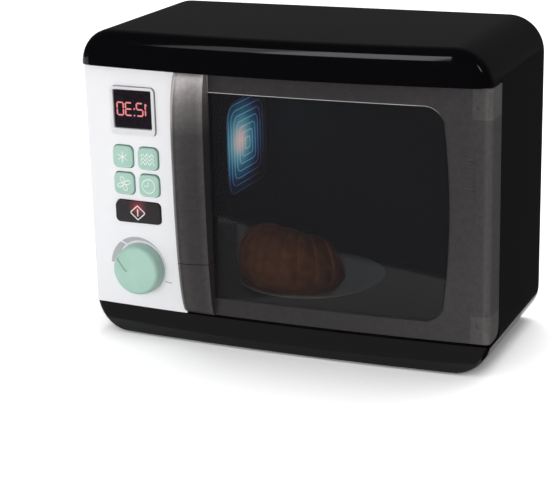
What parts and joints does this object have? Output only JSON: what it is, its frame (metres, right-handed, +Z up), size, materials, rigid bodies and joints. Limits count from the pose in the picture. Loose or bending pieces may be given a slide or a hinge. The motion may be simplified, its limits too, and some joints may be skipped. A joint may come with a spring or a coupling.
{
  "type": "toy microwave oven",
  "caption": "Toy microwave oven with a hinged see-through door, push buttons, a timer knob, a display and play food on a plate inside.",
  "frame": {"origin": "centre of the footprint, on the surface the feet stand on", "axes": "+X along the width towards the door hinge, +Y from the door to the back, +Z up"},
  "size_m": [0.29, 0.1436, 0.2175],
  "materials": {
    "black_plastic": "polished moulded plastic",
    "white_plastic": "smooth moulded plastic",
    "mint_plastic": "satin moulded plastic",
    "silver_plastic": "silver coated plastic",
    "dark_window": "tinted clear plastic",
    "smoke_plastic": "smoke tinted clear plastic, textured round a polished window",
    "liner_plastic": "satin moulded plastic",
    "lens_plastic": "clear ribbed plastic",
    "rubber": "soft moulded rubber",
    "circuit_board": "coated fibreglass board",
    "component": "moulded component body",
    "steel": "plated steel",
    "cell": "printed sleeve on a steel can",
    "plate_plastic": "smooth moulded plastic",
    "dough_plastic": "semi-gloss moulded play food",
    "wire": "insulated wire"
  },
  "bodies": {
    "oven": {"front_shell": "black_plastic", "rear_shell": "black_plastic", "cavity_liner": "liner_plastic", "control_panel": "white_plastic", "display_frame": "silver_plastic", "display_window": "dark_window", "display_module": "component", "rotary_switch": "component", "button_mat": "rubber", "start_lamp": "lens_plastic", "circuit_board": "circuit_board", "sound_chip": "component", "light_lens": "lens_plastic", "lamp_housing": "white_plastic", "lamp_led": "lens_plastic", "speaker": "component", "battery_box": "black_plastic", "battery_cover": "black_plastic", "battery_cover_screw": "steel", "battery_1": "cell", "battery_2": "cell", "battery_3": "cell", "lower_contact": "steel", "upper_contact": "steel", "lower_hinge_pin": "steel", "upper_hinge_pin": "steel", "door_latch": "liner_plastic", "foot_1": "rubber", "foot_2": "rubber", "foot_3": "rubber", "foot_4": "rubber", "housing_screw_1": "steel", "panel_screw_1": "steel", "board_screw_1": "steel", "housing_screw_2": "steel", "panel_screw_2": "steel", "board_screw_2": "steel", "housing_screw_3": "steel", "panel_screw_3": "steel", "board_screw_3": "steel", "housing_screw_4": "steel", "panel_screw_4": "steel", "board_screw_4": "steel", "battery_wire": "wire", "speaker_wire": "wire", "lamp_wire": "wire"},
    "door": {"door": "smoke_plastic"},
    "knob": {"timer_knob": "mint_plastic", "knob_collar": "steel"},
    "plate": {"plate": "plate_plastic"},
    "croissant": {"croissant": "dough_plastic"},
    "star_button": {"star_button": "mint_plastic"},
    "waves_button": {"waves_button": "mint_plastic"},
    "fan_button": {"fan_button": "mint_plastic"},
    "clock_button": {"clock_button": "mint_plastic"},
    "start_button": {"start_button": "black_plastic"}
  },
  "joints": [
    {"name": "door_hinge", "type": "hinge", "parent": "oven", "child": "door", "pos_m": [0.1405, -0.0372, 0.1075], "axis": [0, 0, 1], "range_deg": [0, 105]},
    {"name": "knob_turn", "type": "hinge", "parent": "oven", "child": "knob", "pos_m": [-0.1056, -0.0577, 0.0511], "axis": [0, 1, 0], "range_deg": [-34, 168]},
    {"name": "star_press", "type": "slide", "parent": "oven", "child": "star_button", "axis": [0, 1, 0], "range_m": [0, 0.0015], "stiffness_N_per_m": 250},
    {"name": "waves_press", "type": "slide", "parent": "oven", "child": "waves_button", "axis": [0, 1, 0], "range_m": [0, 0.0015], "stiffness_N_per_m": 250},
    {"name": "fan_press", "type": "slide", "parent": "oven", "child": "fan_button", "axis": [0, 1, 0], "range_m": [0, 0.0015], "stiffness_N_per_m": 250},
    {"name": "clock_press", "type": "slide", "parent": "oven", "child": "clock_button", "axis": [0, 1, 0], "range_m": [0, 0.0015], "stiffness_N_per_m": 250},
    {"name": "start_press", "type": "slide", "parent": "oven", "child": "start_button", "axis": [0, 1, 0], "range_m": [0, 0.0015], "stiffness_N_per_m": 250},
    {"name": "plate_lift", "type": "slide", "parent": "oven", "child": "plate", "axis": [0, 0, 1], "range_m": [0, 0.06]},
    {"name": "croissant_lift", "type": "slide", "parent": "plate", "child": "croissant", "axis": [0, 0, 1], "range_m": [0, 0.02]}
  ]
}
